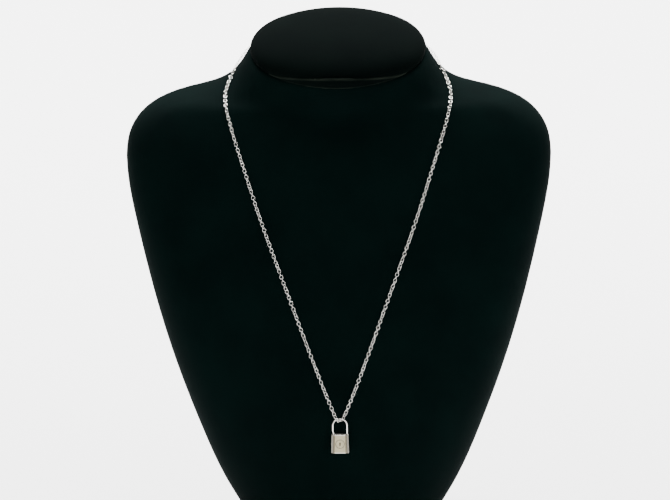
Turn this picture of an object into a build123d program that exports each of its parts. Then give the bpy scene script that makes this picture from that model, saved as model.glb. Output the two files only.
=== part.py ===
from build123d import *

import math
import os
from collections import namedtuple

os.makedirs("parts", exist_ok=True)

# Driving dimensions of the bust: millimetres, degrees, +Z up, the chest faces -Y
TORSO_HEIGHT = 228.0        # floor to the middle of the neck's cut face
SHOULDER_HALF = 102.0       # half the width across the shoulders
FOOT_DEPTH = 41.0           # half the depth of the foot
NECK_LEAN = 19.0            # the neck's cut face leans forward by this
CAP_HEIGHT = 12.9           # rise of the padded cap above the cut face
CAP_ROLL_IN = 9.4           # the cap's round side goes on past its widest by this, rolling in
CAP_TOP_TURN = 83.0         # and turns up from its widest by this, to the small flat on its top
CAP_SLICES = 9

# Driving dimensions of the padlock
LOCK_HEIGHT = 9.2
LOCK_TOP_WIDTH = 8.0
LOCK_FOOT_WIDTH = 8.5
LOCK_DEPTH = 3.2
LOCK_BEVEL = 1.1            # bevel down the two sides, front and back
LOCK_EDGE = 0.25            # softened edges all round
SHACKLE_WIRE = 0.66
SHACKLE_SPAN = 6.8          # between the middles of the two legs
SHACKLE_RISE = 7.3          # lock's top face to the middle of the crown bar
SHACKLE_CROWN = 0.5         # straight part of the crown bar, between its two bends
SHACKLE_NOTCH = 0.4         # the free leg steps in by this just above the lock
NOTCH_FOOT = 0.5            # where that step ends, above the lock's top
NOTCH_HEAD = 1.5            # where it begins
SOCKET_DEPTH = 1.6
SOCKET_CLEARANCE = 0.06
RING_RADIUS = 2.2           # engraved ring on the lock's face
RING_GROOVE = 0.25
FOLD_GROOVE = 0.26          # engraved line down each side of the face, beside the bevel
ENGRAVING_DEPTH = 0.15
KEYHOLE_RADIUS = 0.42
KEYHOLE_LENGTH = 1.3
KEYHOLE_SPREAD = 0.36       # half the width of the keyhole's foot
KEYHOLE_DEPTH = 0.35
PENDANT_RISE = 63.5         # floor to the middle of the crown bar
PENDANT_LEAN = 3.6          # the lock's foot leans in to the chest by this

# Driving dimensions of the chain and its clasp
CHAIN_DIAMETER = 1.5
CHAIN_CLEARANCE = 0.25      # velvet to the chain
CHAIN_BOW = 0.7             # extra room where straight runs cross the round of the velvet
CROSSING_CLEARANCE = 0.35   # shackle to the chain that is threaded through it
BEND_SHARE = 0.45           # how much of the shorter run beside a corner its arc takes
CLASP_LENGTH = 9.0
CLASP_DIAMETER = 2.6
CLASP_TIP_DIAMETER = 1.7
CLASP_TIP_LENGTH = 0.9
CLASP_RUN = 5.0             # straight chain beside each end of the clasp
CLASP_DROP = 0.0163         # below the neck's cut face, as a share of TORSO_HEIGHT

# Sections of the torso, from the foot up. Rise is a share of TORSO_HEIGHT, half_width of
# SHOULDER_HALF, lean of NECK_LEAN, and the four lengths between are shares of FOOT_DEPTH:
# the middle's distance behind the origin, its reach to the front and back, the end radius.
Section = namedtuple("Section", "rise half_width middle front back end_radius lean")
TORSO_SECTIONS = [
    Section(0.000, 0.413, 0.000, 0.97, 0.97, 0.76, 0.00),
    Section(0.085, 0.532, 0.020, 1.10, 1.10, 0.80, 0.00),
    Section(0.210, 0.660, 0.050, 1.14, 1.14, 0.82, 0.00),
    Section(0.360, 0.783, 0.090, 1.06, 1.10, 0.76, 0.02),
    Section(0.510, 0.881, 0.150, 0.92, 1.03, 0.68, 0.05),
    Section(0.655, 0.958, 0.245, 0.79, 0.93, 0.58, 0.10),
    Section(0.775, 1.000, 0.360, 0.72, 0.82, 0.49, 0.15),
    Section(0.842, 0.978, 0.450, 0.70, 0.71, 0.43, 0.18),
    Section(0.882, 0.905, 0.520, 0.69, 0.63, 0.38, 0.24),
    Section(0.906, 0.785, 0.560, 0.71, 0.60, 0.38, 0.31),
    Section(0.922, 0.615, 0.580, 0.74, 0.61, 0.44, 0.42),
    Section(0.942, 0.520, 0.580, 0.76, 0.66, 0.52, 0.58),
    Section(0.968, 0.462, 0.570, 0.77, 0.73, 0.61, 0.79),
    Section(1.000, 0.414, 0.560, 0.78, 0.78, 0.68, 1.00),
]

# One side of the chain, from under the crown bar: across and rise are shares of PASSING_GAP
CrossingPoint = namedtuple("CrossingPoint", "across rise")
CROSSING = [
    CrossingPoint(0.62, -1.00),
    CrossingPoint(1.80, 1.10),
]

# Then up the chest: across is a share of SHOULDER_HALF, rise of TORSO_HEIGHT, and lift is the
# share the left strand still has of its height off the velvet where it passes the crown bar
ChestPoint = namedtuple("ChestPoint", "across rise lift")
CHEST_ROUTE = [
    ChestPoint(0.049, 0.313, 0.75),
    ChestPoint(0.090, 0.358, 0.48),
    ChestPoint(0.156, 0.434, 0.18),
    ChestPoint(0.252, 0.547, 0.00),
    ChestPoint(0.362, 0.676, 0.00),
    ChestPoint(0.440, 0.782, 0.00),
    ChestPoint(0.490, 0.848, 0.00),
    ChestPoint(0.521, 0.893, 0.00),
    ChestPoint(0.529, 0.920, 0.00),
]

# Then over the shoulder and round the neck: turn is in degrees from the side towards the back,
# and drop is a share of TORSO_HEIGHT, down from the neck's cut face
NeckPoint = namedtuple("NeckPoint", "turn drop")
NECK_ROUTE = [
    NeckPoint(-9.0, 0.0500),
    NeckPoint(1.0, 0.0390),
    NeckPoint(11.0, 0.0305),
    NeckPoint(23.0, 0.0245),
    NeckPoint(36.0, 0.0207),
    NeckPoint(50.0, 0.0185),
    NeckPoint(63.0, 0.0169),
]

PASSING_GAP = (SHACKLE_WIRE + CHAIN_DIAMETER) / 2 + CROSSING_CLEARANCE
CROWN_STANDOFF = PASSING_GAP + CHAIN_DIAMETER / 2 + CHAIN_CLEARANCE
ROUTE_STANDOFF = CHAIN_DIAMETER / 2 + CHAIN_CLEARANCE + CHAIN_BOW
CLASP_STANDOFF = CLASP_DIAMETER / 2 + CHAIN_CLEARANCE + CHAIN_BOW
FREE_LEG_FOOT = -SHACKLE_SPAN / 2 + SHACKLE_NOTCH


def oval(half_width, front, back, end_radius):
    """A closed outline of tangent arcs, the front towards local -y, whichever way it is longer."""
    outline = []
    for reach, side in ((front, -1), (back, 1)):
        long, short = max(half_width, reach), min(half_width, reach)
        tight = end_radius * short / reach
        flat = ((long - tight) ** 2 - tight ** 2 + short ** 2) / (2 * (short - tight))
        share = tight / (flat - tight)
        corner = ((long - tight) * (1 + share), (flat - short) * share)
        x, y = corner if half_width > reach else reversed(corner)
        start, end = (side * half_width, 0), (-side * half_width, 0)
        first, last = (side * x, side * y), (-side * x, side * y)
        outline.append(TangentArc(start, first, tangent=(0, side)))
        outline.append(ThreePointArc(first, (0, side * reach), last))
        outline.append(TangentArc(end, last, tangent=(0, side)))
    return make_face(outline)


def section(row, size=1.0):
    """The oval of one row of TORSO_SECTIONS, flat on XY."""
    return oval(size * row.half_width * SHOULDER_HALF, size * row.front * FOOT_DEPTH,
                size * row.back * FOOT_DEPTH, size * row.end_radius * FOOT_DEPTH)


def section_plane(row):
    """The plane of one row, tipped forward about X by its lean."""
    tip = math.radians(row.lean * NECK_LEAN)
    return Plane(origin=(0, row.middle * FOOT_DEPTH, row.rise * TORSO_HEIGHT), x_dir=(1, 0, 0),
                 z_dir=(0, -math.sin(tip), math.cos(tip)))


NECK_ROW = TORSO_SECTIONS[-1]
NECK_PLANE = section_plane(NECK_ROW)


def make_bust_body():
    return loft([section_plane(row) * section(row) for row in TORSO_SECTIONS])


def make_neck_cap():
    """A dome as wide as the neck's cut face, through slices spaced evenly up its side's curve."""
    low, high = math.radians(-CAP_ROLL_IN), math.radians(CAP_TOP_TURN)
    half_width = NECK_ROW.half_width * SHOULDER_HALF
    side = EllipticalCenterArc((0, 0), half_width, CAP_HEIGHT / (math.sin(high) - math.sin(low)),
                               start_angle=-CAP_ROLL_IN, arc_size=CAP_ROLL_IN + CAP_TOP_TURN)
    slices = []
    for i in range(CAP_SLICES):
        place = side @ (i / (CAP_SLICES - 1))
        plane = NECK_PLANE.offset(place.Y - (side @ 0).Y)
        slices.append(plane * section(NECK_ROW, place.X / half_width))
    return loft(slices)


bust_body = make_bust_body()
velvet = bust_body.shell()


def on_velvet(start, direction, standoff):
    """The place a line from inside the torso reaches, at a distance off it, and the way out."""
    way = Vector(*direction).normalized()
    begin = Vector(*start)
    hits = velvet.find_intersection_points(Axis(begin, way))
    ahead = [(point, normal) for point, normal in hits if (point - begin).dot(way) > 0]
    point, normal = ahead[-1]
    if normal.dot(way) < 0:
        normal = -normal
    return point + normal * standoff, normal


# The pendant's plane: x to the right, y up the lock, z off the chest, origin at the middle of
# the crown bar. The chain passes in front of the bar, under it and up behind it.
crown_middle, chest_normal = on_velvet((0, 0, PENDANT_RISE), (0, -1, 0), CROWN_STANDOFF)
PENDANT_PLANE = Plane(origin=crown_middle, x_dir=(1, 0, 0),
                      z_dir=chest_normal.rotate(Axis.X, PENDANT_LEAN))


def octagon(width):
    """The lock seen from above: a bevelled rectangle in x and y."""
    half, deep = width / 2, LOCK_DEPTH / 2
    corner = [(half - LOCK_BEVEL, deep), (half, deep - LOCK_BEVEL)]
    right = corner + [(x, -y) for x, y in reversed(corner)]
    left = [(-x, -y) for x, y in right]
    return make_face(Polyline(*right, *left, close=True))


def make_lock_body():
    top = -SHACKLE_RISE
    foot = top - LOCK_HEIGHT
    upright = Plane(origin=(0, 0, 0), x_dir=(1, 0, 0), z_dir=(0, 1, 0))
    body = loft([upright.offset(foot) * octagon(LOCK_FOOT_WIDTH),
                 upright.offset(top) * octagon(LOCK_TOP_WIDTH)], ruled=True)
    body = fillet(body.edges(), LOCK_EDGE)

    socket = Circle(SHACKLE_WIRE / 2 + SOCKET_CLEARANCE)
    for x in (FREE_LEG_FOOT, SHACKLE_SPAN / 2):
        mouth = Plane(origin=(x, top, 0), x_dir=(1, 0, 0), z_dir=(0, -1, 0))
        body -= extrude(mouth * socket, SOCKET_DEPTH)

    middle = (top + foot) / 2
    face = Plane(origin=(0, middle, LOCK_DEPTH / 2), x_dir=(1, 0, 0), z_dir=(0, 0, -1))
    ring = Circle(RING_RADIUS) - Circle(RING_RADIUS - RING_GROOVE)
    body -= extrude(face * ring, ENGRAVING_DEPTH)
    slot = make_face(Polyline((-KEYHOLE_RADIUS / 2, 0), (KEYHOLE_RADIUS / 2, 0),
                              (KEYHOLE_SPREAD, KEYHOLE_LENGTH), (-KEYHOLE_SPREAD, KEYHOLE_LENGTH),
                              close=True))
    keyhole = Pos(0, -KEYHOLE_LENGTH / 3) * (Circle(KEYHOLE_RADIUS) + slot)
    body -= extrude(face * keyhole, KEYHOLE_DEPTH)

    half, end = FOLD_GROOVE / 2, LOCK_HEIGHT / 2
    inset = LOCK_BEVEL + LOCK_EDGE + half
    for side in (-1, 1):
        high, low = side * (LOCK_TOP_WIDTH / 2 - inset), side * (LOCK_FOOT_WIDTH / 2 - inset)
        line = make_face(Polyline((high - half, -end), (high + half, -end),
                                  (low + half, end), (low - half, end), close=True))
        body -= extrude(face * line, ENGRAVING_DEPTH)
    return PENDANT_PLANE.location * body.solid()


def make_shackle():
    top = -SHACKLE_RISE
    leg_end = top - SOCKET_DEPTH + SOCKET_CLEARANCE
    leg = SHACKLE_SPAN / 2
    bend = (SHACKLE_SPAN - SHACKLE_CROWN) / 2
    points = [(FREE_LEG_FOOT, leg_end), (FREE_LEG_FOOT, top + NOTCH_FOOT),
              (-leg, top + NOTCH_HEAD), (-leg, 0), (leg, 0), (leg, leg_end)]
    path = FilletPolyline(*points, radius=[SHACKLE_WIRE, SHACKLE_WIRE, bend, bend])
    bar = sweep(Plane(origin=path @ 0, z_dir=path % 0) * Circle(SHACKLE_WIRE / 2), path=path)
    return PENDANT_PLANE.location * bar.solid()


clasp_start = NECK_PLANE.from_local_coords(Vector(0, 0, -CLASP_DROP * TORSO_HEIGHT))
clasp_middle = on_velvet(clasp_start, NECK_PLANE.y_dir, CLASP_STANDOFF)[0]


def strand(side):
    """The chain's points from the shackle up one side and round to the clasp: side is -1 or 1."""
    front_extra = CROWN_STANDOFF + PASSING_GAP - ROUTE_STANDOFF if side < 0 else 0
    points = []
    for row in CROSSING:
        local = (side * row.across * PASSING_GAP, row.rise * PASSING_GAP, -side * PASSING_GAP)
        points.append(PENDANT_PLANE.from_local_coords(Vector(*local)))
    for row in CHEST_ROUTE:
        start = (side * row.across * SHOULDER_HALF, NECK_PLANE.origin.Y, row.rise * TORSO_HEIGHT)
        points.append(on_velvet(start, (0, -1, 0), ROUTE_STANDOFF + row.lift * front_extra)[0])
    for row in NECK_ROUTE:
        start = NECK_PLANE.from_local_coords(Vector(0, 0, -row.drop * TORSO_HEIGHT))
        angle = math.radians(row.turn)
        way = NECK_PLANE.x_dir * (side * math.cos(angle)) + NECK_PLANE.y_dir * math.sin(angle)
        points.append(on_velvet(start, way, ROUTE_STANDOFF)[0])
    points.append(clasp_middle + Vector(side * (CLASP_LENGTH / 2 + CLASP_RUN), 0, 0))
    points.append(clasp_middle + Vector(side * CLASP_LENGTH / 2, 0, 0))
    return points


def bend_radii(points):
    """Each corner's arc, as large as its two runs allow."""
    radii = []
    for before, corner, after in zip(points, points[1:], points[2:]):
        arriving, leaving = corner - before, after - corner
        turn = math.radians(arriving.get_angle(leaving))
        radii.append(BEND_SHARE * min(arriving.length, leaving.length) / math.tan(turn / 2))
    return radii


def make_chain():
    points = list(reversed(strand(-1))) + strand(1)
    radii = bend_radii(points)
    path = FilletPolyline(*points, radius=radii)
    tube = sweep(Plane(origin=path @ 0, z_dir=path % 0) * Circle(CHAIN_DIAMETER / 2), path=path)
    tube_volume = math.pi * CHAIN_DIAMETER ** 2 / 4 * path.length
    runs = [(after - before).length for before, after in zip(points, points[1:])]
    print("chain length", round(path.length, 1), "volume ratio", round(tube.volume / tube_volume, 5))
    print("chain radii", [round(radius, 1) for radius in radii])
    print("chain runs", [round(run, 1) for run in runs])
    return tube.solid()


def make_clasp():
    half, tip = CLASP_LENGTH / 2, CLASP_TIP_DIAMETER / 2
    shoulder = half - CLASP_TIP_LENGTH
    outline = [Polyline((-half, 0), (-half, tip), (-shoulder, tip)),
               ThreePointArc((-shoulder, tip), (0, CLASP_DIAMETER / 2), (shoulder, tip)),
               Polyline((shoulder, tip), (half, tip), (half, 0), (-half, 0))]
    barrel = revolve(make_face(outline), Axis.X)
    return Pos(*clasp_middle) * barrel.solid()


nodes = {
    "bust_body": bust_body.solid(),
    "neck_cap": make_neck_cap().solid(),
    "lock_body": make_lock_body(),
    "shackle": make_shackle(),
    "chain": make_chain(),
    "clasp": make_clasp(),
}

for name, solid in nodes.items():
    export_step(solid, f"parts/{name}.step")
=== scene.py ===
import math

import bpy
import numpy as np
from mathutils import Matrix, Vector
from mathutils.bvhtree import BVHTree


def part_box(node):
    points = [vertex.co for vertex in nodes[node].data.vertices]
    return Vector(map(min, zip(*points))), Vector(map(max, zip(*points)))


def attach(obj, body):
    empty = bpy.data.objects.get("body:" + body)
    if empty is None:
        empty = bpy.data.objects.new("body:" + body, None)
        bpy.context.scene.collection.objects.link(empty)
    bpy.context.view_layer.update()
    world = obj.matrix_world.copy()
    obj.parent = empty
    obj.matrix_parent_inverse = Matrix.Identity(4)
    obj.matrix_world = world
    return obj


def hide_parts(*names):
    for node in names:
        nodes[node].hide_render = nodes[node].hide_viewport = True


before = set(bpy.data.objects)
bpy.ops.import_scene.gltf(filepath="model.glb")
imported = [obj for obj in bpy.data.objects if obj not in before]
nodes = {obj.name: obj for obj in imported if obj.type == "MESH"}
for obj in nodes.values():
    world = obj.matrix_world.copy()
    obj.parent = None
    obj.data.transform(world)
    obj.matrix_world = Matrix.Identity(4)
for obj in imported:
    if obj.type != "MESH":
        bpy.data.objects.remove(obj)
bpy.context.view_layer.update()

# Sizes that part.py also uses, here in metres and degrees
TORSO_HEIGHT = 0.228
SHOULDER_HALF = 0.102
FOOT_DEPTH = 0.041
NECK_LEAN = 19.0
NECK_BACK = 0.56                    # share of FOOT_DEPTH, from the origin to the neck's middle
PENDANT_RISE = 0.0635
PENDANT_LEAN = 3.6
LOCK_HEIGHT = 0.0092
LOCK_TOP_WIDTH = 0.0080
LOCK_FOOT_WIDTH = 0.0085
SHACKLE_WIRE = 0.00066
CHAIN_DIAMETER = 0.0015
CHAIN_CLEARANCE = 0.00025
CHAIN_BOW = 0.0007
CROSSING_CLEARANCE = 0.00035
CLASP_LENGTH = 0.009
CLASP_DIAMETER = 0.0026
CLASP_RUN = 0.005
CLASP_DROP = 0.0163
PASSING_GAP = (SHACKLE_WIRE + CHAIN_DIAMETER) / 2 + CROSSING_CLEARANCE
CROWN_STANDOFF = PASSING_GAP + CHAIN_DIAMETER / 2 + CHAIN_CLEARANCE
ROUTE_STANDOFF = CHAIN_DIAMETER / 2 + CHAIN_CLEARANCE + CHAIN_BOW
CLASP_STANDOFF = CLASP_DIAMETER / 2 + CHAIN_CLEARANCE + CHAIN_BOW

# One side of the chain as in part.py. Under the crown bar the links lie closer than its tube:
#  across, rise, how far in front and behind the pendant's plane, and how much the front is higher
CROSSING = [
    (0.00066, -0.00084, 0.00062, 0.00062, 0.00008),
    (0.00118, -0.00064, 0.00230, 0.00196, 0.00022),
    (0.00225, 0.00145, 0.00188, 0.00154, 0.00010),
]
#  shares of SHOULDER_HALF across and of TORSO_HEIGHT up, and the share of the front's extra lift
CHEST_ROUTE = [
    (0.049, 0.313, 0.75),
    (0.090, 0.358, 0.48),
    (0.156, 0.434, 0.18),
    (0.252, 0.547, 0.00),
    (0.362, 0.676, 0.00),
    (0.440, 0.782, 0.00),
    (0.490, 0.848, 0.00),
    (0.521, 0.893, 0.00),
    (0.529, 0.920, 0.00),
]
#  degrees turned from the side to the back, and the share of TORSO_HEIGHT below the cut face
NECK_ROUTE = [
    (-9.0, 0.0500),
    (1.0, 0.0390),
    (11.0, 0.0305),
    (23.0, 0.0245),
    (36.0, 0.0207),
    (50.0, 0.0185),
    (63.0, 0.0169),
]
ROUTE_STEPS = 24                    # along the smooth curve, between two points of the route
RAY_STEP = 0.0001                   # past each place where a ray meets the bust, before it goes on

# The chain's links: outer length and width, and the wire they are bent from
LINK_LENGTH = 0.00202
LINK_WIDTH = 0.00182
LINK_WIRE = 0.00026
LINK_SQUARENESS = 0.86              # 1 is an ellipse, less has fuller corners
LINK_REST = 0.00095                 # velvet to the middle of a link that lies on it
LINK_STEPS = 18
WIRE_SIDES = 8
LAID_FROM_BAR = (0.003, 0.040)      # along the chain, from where it leaves the bar to where it lies
LAID_FROM_CLASP = (0.002, 0.012)
FITTING_ROUNDS = 4                  # to bring a link to its pitch, and the pitch to the chain's length
LINK_TURN = 10.3                    # degrees that the lying chain turns from each link to the next
TURN_FROM = 2                       # links beside the crown bar that hang without that turning
LINK_SHAKE = 5.0                    # degrees that a link hangs off the even turning
SHAKE_FULL = 6                      # links from the crown bar to where that shake is full
SHAKE_WAVES = (1.9, 0.83)           # radians to a link, of the two waves that it adds up
SHAKE_SHIFT = 1.0

# The velvet over the bust and over the cap
BUST_VOXEL, BUST_ROUNDS = 0.0015, 8
CAP_VOXEL, CAP_ROUNDS = 0.0005, 5
VELVET_TONES = (0.0002, 0.0022, 0.0020), (0.0004, 0.0031, 0.0027)
# Painted shade: the cap's velvet is toned darker than the bust's, against the stronger light on its top
CAP_SHADED_TONES = (0.0001, 0.0010, 0.0009), (0.0003, 0.0015, 0.0012)
VELVET_ROUGHNESS = 0.95
VELVET_SPECULAR = 0.02
VELVET_SHEEN = 0.0026
CAP_SHEEN = 0.0010
SHEEN_ROUGHNESS = 0.30
SHEEN_TINT = (0.75, 0.85, 0.80, 1)
# Painted sheen: the light tone of the thin lines along the cap's roll and at its foot
PAINTED_SHEEN_TONE = (0.012, 0.016, 0.012)
NAP_SCALE, PILE_SCALE = 34.0, 2600.0
NAP_SPREAD = (0.35, 0.65)
PILE_STRENGTH, PILE_DEPTH = 0.35, 0.0002

# The crescent roll of velvet along the front of the cap, up from the neck's cut face
FOLD_RISE = 0.0042
FOLD_SAG = 0.0011
SAG_HEIGHT = 0.0022
FOLD_HALF = 0.0340
FOLD_FRONT = (0.002, 0.010)         # forward of the neck's middle, where it begins and where it is full
FOLD_HEIGHT = 0.0008
FOLD_FOOT = 0.5                     # share of that height which the roll has at the cut face already
FOLD_EDGE = 0.0001                  # added to the roll's rise, which is nothing at its two ends
FOLD_TUCK = 0.0005
TUCK_DEPTH = 0.5                    # share of the roll's height that the tuck goes in
TUCK_REACH = 0.003                  # above the roll, where the tuck over it ends
SHEEN_LINE_WIDTH = 0.00026                 # half the width of a line of painted sheen
SHEEN_LINE_FRONT = (-0.004, 0.004)         # forward of the neck's middle, where the upper line fades in
SHEEN_LINE_MEAN, SHEEN_LINE_SWING = 0.65, 0.35    # how light the lines are, and how much that changes along them
SHEEN_LINE_WAVES = (310, 130)              # radians to a metre, of the waves in which it changes

# The pulls in the velvet at the neck's sides
PULL_WIDTH = 0.0012
PULL_MIDDLE = 0.010                 # below the neck's cut face
PULL_FADES = (0.005, 0.004)         # at a pull's lower and upper end
#  across, slant, from and to above the neck's cut face, height
NECK_PULLS = [
    (0.0445, -0.10, -0.020, -0.006, 0.00040),
    (0.0400, -0.12, -0.014, -0.003, 0.00025),
    (-0.0420, 0.20, -0.018, -0.005, 0.00020),
]

# The silver: two tones, the range of its roughness, and its brushing's scale along x, y and z
CHAIN_TONES = (0.68, 0.66, 0.62), (0.82, 0.80, 0.76)
CHAIN_ROUGHNESS = (0.12, 0.22)
CHAIN_GRAIN = (900, 900, 900)
POLISHED_TONES = (0.60, 0.58, 0.54), (0.72, 0.70, 0.66)
POLISHED_ROUGHNESS = (0.07, 0.14)
POLISHED_GRAIN = (1500, 1500, 1500)
TONE_SCALE = 420.0
BRUSHING_STRENGTH, BRUSHING_DEPTH = 0.12, 0.00002

# The lock's finish, on its face, its bevels, its edges and down in its engraved lines, with painted
# shade on the bevels and at their inner folds and a painted highlight at the face's two ends
LOCK_FACE_TONES = (0.30, 0.265, 0.175), (0.42, 0.375, 0.255)
LOCK_FACE_ROUGHNESS = (0.36, 0.50)
LOCK_GRAIN = (9000, 9000, 500)
LOCK_POLISH = 0.32
# The polished edges' tone, also laid on the face's two ends as a painted highlight
LOCK_POLISH_AND_HIGHLIGHT_TONE = (0.90, 0.87, 0.80)
# Painted shade: the bevels' dark tone, darker than the polished silver round them
LOCK_BEVEL_SHADE_TONE = (0.130, 0.121, 0.102)
# Painted shade: the dark band at the fold between the face and each bevel
LOCK_FOLD_SHADE_TONE = (0.055, 0.048, 0.036)
LOCK_TARNISH = (0.075, 0.062, 0.040)
BEVEL_FOLD_SHADE = (0.00126, 0.00088)           # painted shade: the dark band along the bevel's inner edge, in from the lock's side
BEVEL_FOLD_SHADE_BLUR = 0.00010
RIM = (0.00055, 0.00025)            # painted highlight: the bright rim of the face, in from the lock's two ends
FRONT_NORMAL = 0.99                 # how squarely a triangle of the lock's front looks off the chest
FACE_NORMALS = (0.93, 0.99)         # how squarely the face, and then the bevels, look ahead
BEVEL_NORMALS = (0.55, 0.66)
ENGRAVING_LIP = 0.00003
ENGRAVING_FLOOR = 0.00011

# Camera, from the photograph's framing: 0.48 mm of the object to a pixel
MM_PER_PIXEL = 0.48
IMAGE_WIDTH = 670
SENSOR_WIDTH = 36.0
CAMERA_DISTANCE = 4.0
CAMERA_RISE = 15.0
CAMERA_TURN = 0.8
CAMERA_ROLL = 0.6
CAMERA_TARGET = (-0.0021, 0.0, 0.1352)
CAMERA_CLIP = (0.05, 60.0)

# The table and the soft light from above and from both sides
FLOOR_REACH = 8.0
FLOOR_DROP = 0.0002
FLOOR_TONE = (0.92, 0.92, 0.92, 1)
FLOOR_ROUGHNESS = 0.9
WORLD_STRENGTH = 0.42
#  name, place, aim, size, power
LIGHTS = [
    ("overhead", (0.0, 1.1, 2.0), (0, 0.8, 0), (2.2, 1.8), 340.0),
    ("key", (-1.1, -1.3, 1.2), (0, 0, 0.1), (1.0, 1.0), 12.0),
    ("fill", (1.3, -1.1, 0.7), (0, 0, 0.1), (0.5, 1.1), 13.0),
]


def make_camera():
    rise, turn, roll = (math.radians(a) for a in (CAMERA_RISE, CAMERA_TURN, CAMERA_ROLL))
    away = Vector((math.sin(turn) * math.cos(rise), -math.cos(turn) * math.cos(rise), math.sin(rise)))
    data = bpy.data.cameras.new("camera")
    data.sensor_width = SENSOR_WIDTH
    data.lens = SENSOR_WIDTH * CAMERA_DISTANCE / (IMAGE_WIDTH * MM_PER_PIXEL / 1000)
    data.clip_start, data.clip_end = CAMERA_CLIP
    camera = bpy.data.objects.new("camera", data)
    bpy.context.scene.collection.objects.link(camera)
    look = away.to_track_quat("Z", "Y").to_matrix().to_4x4() @ Matrix.Rotation(-roll, 4, "Z")
    camera.matrix_world = Matrix.Translation(Vector(CAMERA_TARGET) + away * CAMERA_DISTANCE) @ look
    bpy.context.scene.camera = camera


make_camera()

# Where the velvet is, from the bust's own solid
bust_mesh = nodes["bust_body"].data
bust_tree = BVHTree.FromPolygons([v.co.copy() for v in bust_mesh.vertices],
                                 [tuple(p.vertices) for p in bust_mesh.polygons])
tip = math.radians(NECK_LEAN)
neck_middle = Vector((0, NECK_BACK * FOOT_DEPTH, TORSO_HEIGHT))
neck_back = Vector((0, math.cos(tip), math.sin(tip)))
neck_up = Vector((0, -math.sin(tip), math.cos(tip)))


def on_velvet(start, direction, standoff):
    """The last place that a line from inside the bust reaches, at a distance off it, and the way out."""
    way = Vector(direction).normalized()
    begin = Vector(start)
    hit, hit_normal = bust_tree.ray_cast(begin, way)[:2]
    while hit is not None:
        place, normal = hit, hit_normal
        begin = hit + way * RAY_STEP
        hit, hit_normal = bust_tree.ray_cast(begin, way)[:2]
    if normal.dot(way) < 0:
        normal = -normal
    return place + normal * standoff, normal


crown_middle, chest_normal = on_velvet((0, 0, PENDANT_RISE), (0, -1, 0), CROWN_STANDOFF)
pendant_off = Matrix.Rotation(math.radians(PENDANT_LEAN), 3, "X") @ chest_normal
pendant_up = pendant_off.cross(Vector((1, 0, 0)))
clasp_start = neck_middle - neck_up * CLASP_DROP * TORSO_HEIGHT
clasp_middle = on_velvet(clasp_start, neck_back, CLASP_STANDOFF)[0]


def strand(side):
    """The chain's route from the shackle up one side and round to the clasp."""
    front_extra = CROWN_STANDOFF + PASSING_GAP - ROUTE_STANDOFF if side < 0 else 0
    points = []
    for across, rise, front, behind, slant in CROSSING:
        off = front if side < 0 else -behind
        place = crown_middle + Vector((side * across, 0, 0))
        points.append(place + pendant_up * (rise - side * slant) + pendant_off * off)
    for across, rise, lift in CHEST_ROUTE:
        start = (side * across * SHOULDER_HALF, neck_middle.y, rise * TORSO_HEIGHT)
        points.append(on_velvet(start, (0, -1, 0), ROUTE_STANDOFF + lift * front_extra)[0])
    for turn, drop in NECK_ROUTE:
        angle = math.radians(turn)
        start = neck_middle - neck_up * drop * TORSO_HEIGHT
        way = Vector((side * math.cos(angle), 0, 0)) + neck_back * math.sin(angle)
        points.append(on_velvet(start, way, ROUTE_STANDOFF)[0])
    points.append(clasp_middle + Vector((side * (CLASP_LENGTH / 2 + CLASP_RUN), 0, 0)))
    points.append(clasp_middle + Vector((side * CLASP_LENGTH / 2, 0, 0)))
    return points


def smooth_line(points):
    """Close points along the smooth curve of a route."""
    data = bpy.data.curves.new("route", "CURVE")
    data.dimensions = "3D"
    data.resolution_u = ROUTE_STEPS
    spline = data.splines.new("NURBS")
    spline.points.add(len(points) - 1)
    for point, place in zip(spline.points, points):
        point.co = (*place, 1.0)
    spline.order_u = 3
    spline.use_endpoint_u = True
    route = bpy.data.objects.new("route", data)
    bpy.context.scene.collection.objects.link(route)
    mesh = bpy.data.meshes.new_from_object(route.evaluated_get(bpy.context.evaluated_depsgraph_get()))
    line = np.array([v.co for v in mesh.vertices])
    bpy.data.objects.remove(route)
    bpy.data.curves.remove(data)
    bpy.data.meshes.remove(mesh)
    return line


def smoothstep(low, high, value):
    t = np.clip((value - low) / (high - low), 0, 1)
    return t * t * (3 - 2 * t)


def lengths_along(line):
    return np.concatenate([[0], np.cumsum(np.linalg.norm(np.diff(line, axis=0), axis=1))])


def lay_on_velvet(line, crossing):
    """The same line, let down on to the velvet away from the shackle and the clasp."""
    along = lengths_along(line)
    weights = smoothstep(*LAID_FROM_BAR, np.abs(along - along[crossing]))
    weights *= smoothstep(*LAID_FROM_CLASP, np.minimum(along, along[-1] - along))
    laid = line.copy()
    for i, (place, weight) in enumerate(zip(line, weights)):
        nearest = bust_tree.find_nearest(Vector(place))
        near, distance = nearest[0], nearest[3]
        out = (Vector(place) - near).normalized()
        laid[i] = near + out * (distance * (1 - weight) + LINK_REST * weight)
    return laid


line = smooth_line(list(reversed(strand(-1))) + strand(1))
under_bar = np.array(crown_middle + pendant_up * CROSSING[0][1])
crossing = int(np.argmin(np.linalg.norm(line - under_bar, axis=1)))
line = lay_on_velvet(line, crossing)
along = lengths_along(line)


def place_at(distance):
    return Vector([np.interp(distance, along, line[:, k]) for k in range(3)])


def joints_towards(end):
    """Where the links meet, from beside the crown bar to one end of the line, a whole number of them."""
    way = 1 if end > along[crossing] else -1
    pitch = LINK_LENGTH - 2 * LINK_WIRE
    start = along[crossing] + way * pitch / 2
    count = math.ceil(abs(end - start) / pitch)
    for fitting in range(FITTING_ROUNDS):
        joints = [start]
        for k in range(count):
            last = place_at(joints[-1])
            ahead = joints[-1] + way * pitch
            for closer in range(FITTING_ROUNDS):
                ahead += way * (pitch - (place_at(ahead) - last).length)
            joints.append(ahead)
        pitch += way * (end - joints[-1]) / count
    return joints


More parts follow.
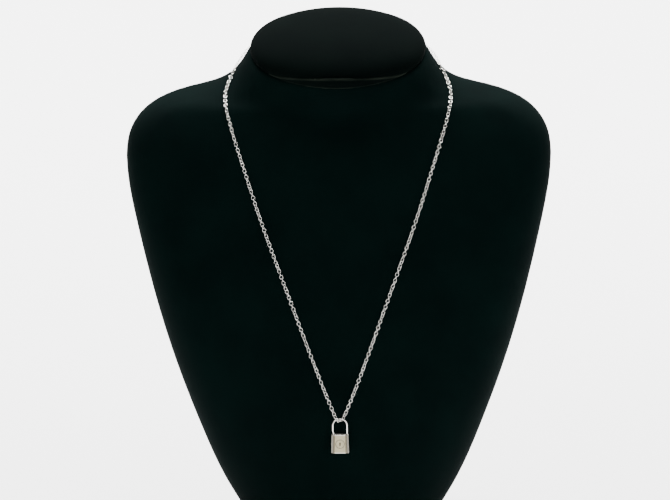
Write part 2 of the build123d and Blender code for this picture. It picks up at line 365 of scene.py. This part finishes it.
def link_places():
    """Each link's middle and way along the chain, and which one is under the crown bar."""
    left, right = joints_towards(0.0), joints_towards(along[-1])
    joints = [place_at(d) for d in list(reversed(left)) + right]
    middles = [(a + b) / 2 for a, b in zip(joints, joints[1:])]
    ways = [(b - a).normalized() for a, b in zip(joints, joints[1:])]
    return middles, ways, len(left) - 1


def carried_normals(ways, start):
    """A cross direction for each link, carried along the chain without twist from the crown bar."""
    normals = [None] * len(ways)
    normals[start] = (-pendant_up + ways[start] * pendant_up.dot(ways[start])).normalized()
    for order in (range(start + 1, len(ways)), range(start - 1, -1, -1)):
        last = start
        for i in order:
            turn = ways[last].rotation_difference(ways[i])
            carried = turn @ normals[last]
            normals[i] = (carried - ways[i] * carried.dot(ways[i])).normalized()
            last = i
    return normals


def chain_turn(k):
    """How far the link k places from the crown bar is turned, every second one by a right angle more."""
    beyond = math.copysign(max(abs(k) - TURN_FROM, 0), k)
    waves = math.sin(k * SHAKE_WAVES[0]) + math.sin(k * SHAKE_WAVES[1] + SHAKE_SHIFT)
    shake = LINK_SHAKE * min(abs(k) / SHAKE_FULL, 1) * waves
    return math.radians(LINK_TURN * beyond + shake) + k % 2 * math.pi / 2


def fuller(value):
    """A sine or cosine that rounds a link's corners out."""
    return math.copysign(abs(value) ** LINK_SQUARENESS, value)


def link_ring():
    """One link's surface: points round the wire for each step round the link."""
    half_length = (LINK_LENGTH - LINK_WIRE) / 2
    half_width = (LINK_WIDTH - LINK_WIRE) / 2
    rings = []
    for step in range(LINK_STEPS):
        a = 2 * math.pi * step / LINK_STEPS
        x = half_length * fuller(math.cos(a))
        y = half_width * fuller(math.sin(a))
        outward = Vector((x / half_length ** 2, y / half_width ** 2, 0)).normalized()
        ring = []
        for side in range(WIRE_SIDES):
            b = 2 * math.pi * side / WIRE_SIDES
            off = outward * math.cos(b) + Vector((0, 0, math.sin(b)))
            ring.append(Vector((x, y, 0)) + off * LINK_WIRE / 2)
        rings.append(ring)
    return rings


def new_piece(name, mesh, body):
    piece = bpy.data.objects.new(name, mesh)
    bpy.context.scene.collection.objects.link(piece)
    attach(piece, body)
    return piece


def make_links():
    middles, ways, start = link_places()
    normals = carried_normals(ways, start)
    rings = link_ring()
    vertices, faces = [], []
    for i, (place, way, normal) in enumerate(zip(middles, ways, normals)):
        turn = chain_turn(i - start)
        across = way.cross(normal) * math.cos(turn) - normal * math.sin(turn)
        flat = way.cross(across)
        base = len(vertices)
        for ring in rings:
            for point in ring:
                vertices.append(place + way * point.x + across * point.y + flat * point.z)
        for step in range(LINK_STEPS):
            here = base + step * WIRE_SIDES
            there = base + (step + 1) % LINK_STEPS * WIRE_SIDES
            for k in range(WIRE_SIDES):
                after = (k + 1) % WIRE_SIDES
                faces.append((here + k, here + after, there + after, there + k))
    mesh = bpy.data.meshes.new("chain_links")
    mesh.from_pydata(vertices, [], faces)
    mesh.polygons.foreach_set("use_smooth", [True] * len(faces))
    mesh.update()
    links = new_piece("chain_links", mesh, "display")
    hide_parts("chain")
    return links


def soft_copy(name, node, voxel, rounds):
    """A node's own form as an even mesh, with its hard edges softened as cloth covers them."""
    copy = bpy.data.objects.new(name, nodes[node].data.copy())
    bpy.context.scene.collection.objects.link(copy)
    remesh = copy.modifiers.new("even", "REMESH")
    remesh.mode = "VOXEL"
    remesh.voxel_size = voxel
    remesh.adaptivity = 0.0
    smooth = copy.modifiers.new("soft", "SMOOTH")
    smooth.factor = 0.5
    smooth.iterations = rounds
    mesh = bpy.data.meshes.new_from_object(copy.evaluated_get(bpy.context.evaluated_depsgraph_get()))
    mesh.name = name
    mesh.materials.clear()
    bpy.data.objects.remove(copy)
    mesh.polygons.foreach_set("use_smooth", [True] * len(mesh.polygons))
    piece = new_piece(name, mesh, "display")
    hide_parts(node)
    return piece


def move_points(mesh, shift):
    """Moves each point by shift(places, normals), and keeps the share it also gives as the strength of
    the painted sheen lines.
    """
    places = np.empty(len(mesh.vertices) * 3)
    mesh.vertices.foreach_get("co", places)
    places = places.reshape(-1, 3)
    normals = np.array([v.normal for v in mesh.vertices])
    moves, painted_sheen = shift(places, normals)
    mesh.vertices.foreach_set("co", (places + moves).ravel())
    mesh.attributes.new("painted_sheen", "FLOAT", "POINT").data.foreach_set("value", np.clip(painted_sheen, 0, 1))
    mesh.update()


def in_neck_plane(places):
    """Places seen from the neck's cut face: across, back and up."""
    from_middle = places - np.array(neck_middle)
    return from_middle[:, 0], from_middle @ np.array(neck_back), from_middle @ np.array(neck_up)


def ridge(value, width):
    """A soft ridge: 1 where the value is 0, and falling off over the width."""
    return np.exp(-(value / width) ** 2)


def cap_fold(places, normals):
    """The crescent roll along the front of the cap, under a sharp tuck, and sagging below the cap."""
    across, back, up = in_neck_plane(places)
    front = smoothstep(*FOLD_FRONT, -back)
    crescent = np.clip(1 - (across / FOLD_HALF) ** 2, 0, 1)
    top = FOLD_RISE * crescent
    share = np.clip(up / (top + FOLD_EDGE), 0, 1)
    roll = 1 - (1 - share) ** 2 * (1 - FOLD_FOOT)
    bulge = np.where(up < top, roll, -TUCK_DEPTH * ridge(up - top, FOLD_TUCK))
    outward = FOLD_HEIGHT * bulge * np.sqrt(crescent) * front * (up < top + TUCK_REACH)
    sag = FOLD_SAG * crescent * front * ridge(up, SAG_HEIGHT)
    moves = normals * outward[:, None] - np.array(neck_up) * sag[:, None]
    # Painted sheen: thin light lines along the crest of the roll and at its foot, where the nap catches
    # the light
    crest = ridge(up - top + SHEEN_LINE_WIDTH, SHEEN_LINE_WIDTH) * smoothstep(*SHEEN_LINE_FRONT, -back)
    foot = ridge(up - SHEEN_LINE_WIDTH, SHEEN_LINE_WIDTH) * np.sqrt(crescent) * front
    waves = np.sin(across * SHEEN_LINE_WAVES[0] + 1.0) * np.sin(across * SHEEN_LINE_WAVES[1])
    return moves, (crest + foot) * (SHEEN_LINE_MEAN + SHEEN_LINE_SWING * waves)


def neck_folds(places, normals):
    """Shallow pulls where the velvet is stretched from the neck on to the shoulders."""
    across, back, up = in_neck_plane(places)
    fade_in, fade_out = PULL_FADES
    height = np.zeros(len(places))
    for middle, slant, low, high, rise in NECK_PULLS:
        off_line = across - middle - slant * (up + PULL_MIDDLE)
        length = smoothstep(low, low + fade_in, up) * smoothstep(-high, fade_out - high, -up)
        height += rise * ridge(off_line, PULL_WIDTH) * length * (back < 0)
    return normals * height[:, None], np.zeros(len(places))


def new_material(name):
    material = bpy.data.materials.new(name)
    material.use_nodes = True
    tree = material.node_tree
    return material, tree, tree.nodes["Principled BSDF"]


def add_node(tree, kind, **values):
    node = tree.nodes.new(kind)
    for key, value in values.items():
        if key in node.inputs:
            node.inputs[key].default_value = value
        else:
            setattr(node, key, value)
    return node


def noise(tree, place, **values):
    node = add_node(tree, "ShaderNodeTexNoise", **values)
    tree.links.new(place, node.inputs["Vector"])
    return node.outputs["Fac"]


def mapped(tree, value, source, target=(0.0, 1.0), kind="LINEAR"):
    """A value's range laid on to another range, and no further."""
    node = add_node(tree, "ShaderNodeMapRange", interpolation_type=kind)
    for name, bound in zip(("From Min", "From Max", "To Min", "To Max"), (*source, *target)):
        node.inputs[name].default_value = bound
    tree.links.new(value, node.inputs["Value"])
    return node.outputs["Result"]


def masked(tree, value, low, high):
    """A soft 0 to 1 mask where a value passes from low to high."""
    return mapped(tree, value, (low, high), kind="SMOOTHSTEP")


def worked(tree, operation, *terms):
    """A sum worked out from sockets and plain numbers."""
    node = add_node(tree, "ShaderNodeMath", operation=operation)
    for socket, term in zip(node.inputs, terms):
        if isinstance(term, bpy.types.NodeSocket):
            tree.links.new(term, socket)
        else:
            socket.default_value = term
    return node.outputs["Value"]


def inverse(tree, mask):
    return worked(tree, "SUBTRACT", 1.0, mask)


def along_way(tree, vector, way):
    """How far a vector reaches along a fixed way."""
    dot = add_node(tree, "ShaderNodeVectorMath", operation="DOT_PRODUCT")
    tree.links.new(vector, dot.inputs[0])
    dot.inputs[1].default_value = way
    return dot.outputs["Value"]


def colour_mix(tree, factor, low, high):
    mix = tree.nodes.new("ShaderNodeMix")
    mix.data_type = "RGBA"
    mix.inputs["A"].default_value = (*low, 1)
    mix.inputs["B"].default_value = (*high, 1)
    tree.links.new(factor, mix.inputs["Factor"])
    return mix.outputs["Result"]


def lay_over(tree, socket, mask, value):
    """Mixes a colour or a number over what a socket already has, where the mask is 1."""
    mix = tree.nodes.new("ShaderNodeMix")
    mix.data_type = "RGBA" if socket.type == "RGBA" else "FLOAT"
    first, second, result = (2, 3, 0) if mix.data_type == "FLOAT" else (6, 7, 2)
    tree.links.new(mask, mix.inputs["Factor"])
    tree.links.new(socket.links[0].from_socket, mix.inputs[first])
    mix.inputs[second].default_value = (*value, 1) if socket.type == "RGBA" else value
    tree.links.new(mix.outputs[result], socket)


def roughen(tree, shader, height, strength, depth):
    bump = add_node(tree, "ShaderNodeBump", Strength=strength, Distance=depth)
    tree.links.new(height, bump.inputs["Height"])
    tree.links.new(bump.outputs["Normal"], shader.inputs["Normal"])


def velvet_material(name, tones, sheen):
    """Velvet with a nap that lies unevenly, a fine pile, and thin lines of painted sheen."""
    material, tree, shader = new_material(name)
    place = add_node(tree, "ShaderNodeTexCoord").outputs["Object"]
    nap = noise(tree, place, Scale=NAP_SCALE, Detail=3.0, Roughness=0.6)
    pile = noise(tree, place, Scale=PILE_SCALE, Detail=2.0, Roughness=0.7)
    colour = colour_mix(tree, mapped(tree, nap, NAP_SPREAD), *tones)
    tree.links.new(colour, shader.inputs["Base Color"])
    # painted sheen, laid in the lighter tone along the lines that the cap's points carry
    painted_sheen = add_node(tree, "ShaderNodeAttribute", attribute_name="painted_sheen")
    lay_over(tree, shader.inputs["Base Color"], painted_sheen.outputs["Fac"], PAINTED_SHEEN_TONE)
    roughen(tree, shader, pile, PILE_STRENGTH, PILE_DEPTH)
    shader.inputs["Roughness"].default_value = VELVET_ROUGHNESS
    shader.inputs["Specular IOR Level"].default_value = VELVET_SPECULAR
    shader.inputs["Sheen Weight"].default_value = sheen
    shader.inputs["Sheen Roughness"].default_value = SHEEN_ROUGHNESS
    shader.inputs["Sheen Tint"].default_value = SHEEN_TINT
    return material


def silver_material(name, tones, roughness, grain):
    """Silver with a worked surface, brushed along the way in which its grain is coarse."""
    material, tree, shader = new_material(name)
    place = add_node(tree, "ShaderNodeTexCoord").outputs["Object"]
    stretch = add_node(tree, "ShaderNodeMapping")
    stretch.inputs["Scale"].default_value = grain
    tree.links.new(place, stretch.inputs["Vector"])
    brushing = noise(tree, stretch.outputs["Vector"], Scale=1.0, Detail=4.0, Roughness=0.6)
    tone = noise(tree, place, Scale=TONE_SCALE, Detail=2.0)
    tree.links.new(colour_mix(tree, tone, *tones), shader.inputs["Base Color"])
    tree.links.new(mapped(tree, brushing, (0.0, 1.0), roughness), shader.inputs["Roughness"])
    roughen(tree, shader, brushing, BRUSHING_STRENGTH, BRUSHING_DEPTH)
    shader.inputs["Metallic"].default_value = 1.0
    return material


def lock_material():
    """Matte on the lock's face, polished round it, with painted shade on the bevels and along their
    inner folds, a painted highlight at the face's two ends, and tarnish down in the engraved lines.
    """
    material = silver_material("brushed_silver", LOCK_FACE_TONES, LOCK_FACE_ROUGHNESS, LOCK_GRAIN)
    tree = material.node_tree
    shader = tree.nodes["Principled BSDF"]
    mesh = nodes["lock_body"].data
    front_faces = [p for p in mesh.polygons if p.normal.dot(pendant_off) > FRONT_NORMAL]
    off = sum((p.normal * p.area for p in front_faces), Vector()).normalized()
    front = max(v.co.dot(off) for v in mesh.vertices)
    low, high = (Vector(corner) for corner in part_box("lock_body"))
    middle = (low + high) / 2

    seen = add_node(tree, "ShaderNodeTexCoord").outputs
    squareness = along_way(tree, seen["Normal"], off)
    face = masked(tree, squareness, *FACE_NORMALS)
    ahead = masked(tree, squareness, *BEVEL_NORMALS)
    around = inverse(tree, face)
    bevel = worked(tree, "MULTIPLY", ahead, around)
    depth = along_way(tree, seen["Object"], off)
    sunk = inverse(tree, masked(tree, depth, front - ENGRAVING_FLOOR, front - ENGRAVING_LIP))

    # Up the lock from its middle, and across it as if it had no taper
    up = worked(tree, "SUBTRACT", along_way(tree, seen["Object"], pendant_up), middle.dot(pendant_up))
    across = worked(tree, "ABSOLUTE", along_way(tree, seen["Object"], (1, 0, 0)))
    taper = (LOCK_FOOT_WIDTH - LOCK_TOP_WIDTH) / 2 / LOCK_HEIGHT
    across = worked(tree, "MULTIPLY_ADD", up, taper, across)
    side = (LOCK_FOOT_WIDTH + LOCK_TOP_WIDTH) / 4
    inside, outside = (masked(tree, across, side - start, side - start + BEVEL_FOLD_SHADE_BLUR) for start in BEVEL_FOLD_SHADE)
    bevel_fold_shade = worked(tree, "MULTIPLY", inside, inverse(tree, outside))
    rim = masked(tree, worked(tree, "ABSOLUTE", up), *(LOCK_HEIGHT / 2 - start for start in RIM))

    colour = shader.inputs["Base Color"]
    lay_over(tree, shader.inputs["Roughness"], around, LOCK_POLISH)
    # Painted highlight: the face's top and bottom ends in the bright polished tone
    lay_over(tree, colour, rim, LOCK_POLISH_AND_HIGHLIGHT_TONE)
    lay_over(tree, colour, around, LOCK_POLISH_AND_HIGHLIGHT_TONE)
    # Painted shade: the bevels darker
    lay_over(tree, colour, bevel, LOCK_BEVEL_SHADE_TONE)
    # Painted shade: a dark band along each bevel's inner fold
    lay_over(tree, colour, worked(tree, "MULTIPLY", bevel_fold_shade, ahead), LOCK_FOLD_SHADE_TONE)
    lay_over(tree, colour, worked(tree, "MULTIPLY", sunk, face), LOCK_TARNISH)
    return material


def paint(piece, material):
    piece.data.materials.clear()
    piece.data.materials.append(material)


bust = soft_copy("bust_velvet", "bust_body", BUST_VOXEL, BUST_ROUNDS)
move_points(bust.data, neck_folds)
paint(bust, velvet_material("black_velvet", VELVET_TONES, VELVET_SHEEN))
cap = soft_copy("cap_velvet", "neck_cap", CAP_VOXEL, CAP_ROUNDS)
move_points(cap.data, cap_fold)
# the cap gets a darker copy of the velvet, painted shade under the light from above
paint(cap, velvet_material("cap_velvet", CAP_SHADED_TONES, CAP_SHEEN))

paint(make_links(), silver_material("chain_silver", CHAIN_TONES, CHAIN_ROUGHNESS, CHAIN_GRAIN))
polished = silver_material("polished_silver", POLISHED_TONES, POLISHED_ROUGHNESS, POLISHED_GRAIN)
paint(nodes["lock_body"], lock_material())
paint(nodes["shackle"], polished)
paint(nodes["clasp"], polished)


def make_floor():
    mesh = bpy.data.meshes.new("floor")
    corners = [(x * FLOOR_REACH, y * FLOOR_REACH, 0) for x, y in ((-1, -1), (1, -1), (1, 1), (-1, 1))]
    mesh.from_pydata(corners, [], [(0, 1, 2, 3)])
    floor = bpy.data.objects.new("floor", mesh)
    floor.location.z = -FLOOR_DROP
    bpy.context.scene.collection.objects.link(floor)
    material, tree, shader = new_material("pale_floor")
    shader.inputs["Base Color"].default_value = FLOOR_TONE
    shader.inputs["Roughness"].default_value = FLOOR_ROUGHNESS
    floor.data.materials.append(material)


def make_light(name, place, aim, size, power):
    data = bpy.data.lights.new(name, "AREA")
    data.shape = "RECTANGLE"
    data.size, data.size_y = size
    data.energy = power
    light = bpy.data.objects.new(name, data)
    bpy.context.scene.collection.objects.link(light)
    light.location = place
    light.rotation_euler = (Vector(aim) - Vector(place)).to_track_quat("-Z", "Y").to_euler()


def make_world():
    world = bpy.data.worlds.new("studio")
    world.use_nodes = True
    background = world.node_tree.nodes["Background"]
    background.inputs["Color"].default_value = (1, 1, 1, 1)
    background.inputs["Strength"].default_value = WORLD_STRENGTH
    bpy.context.scene.world = world


make_floor()
for light in LIGHTS:
    make_light(*light)
make_world()
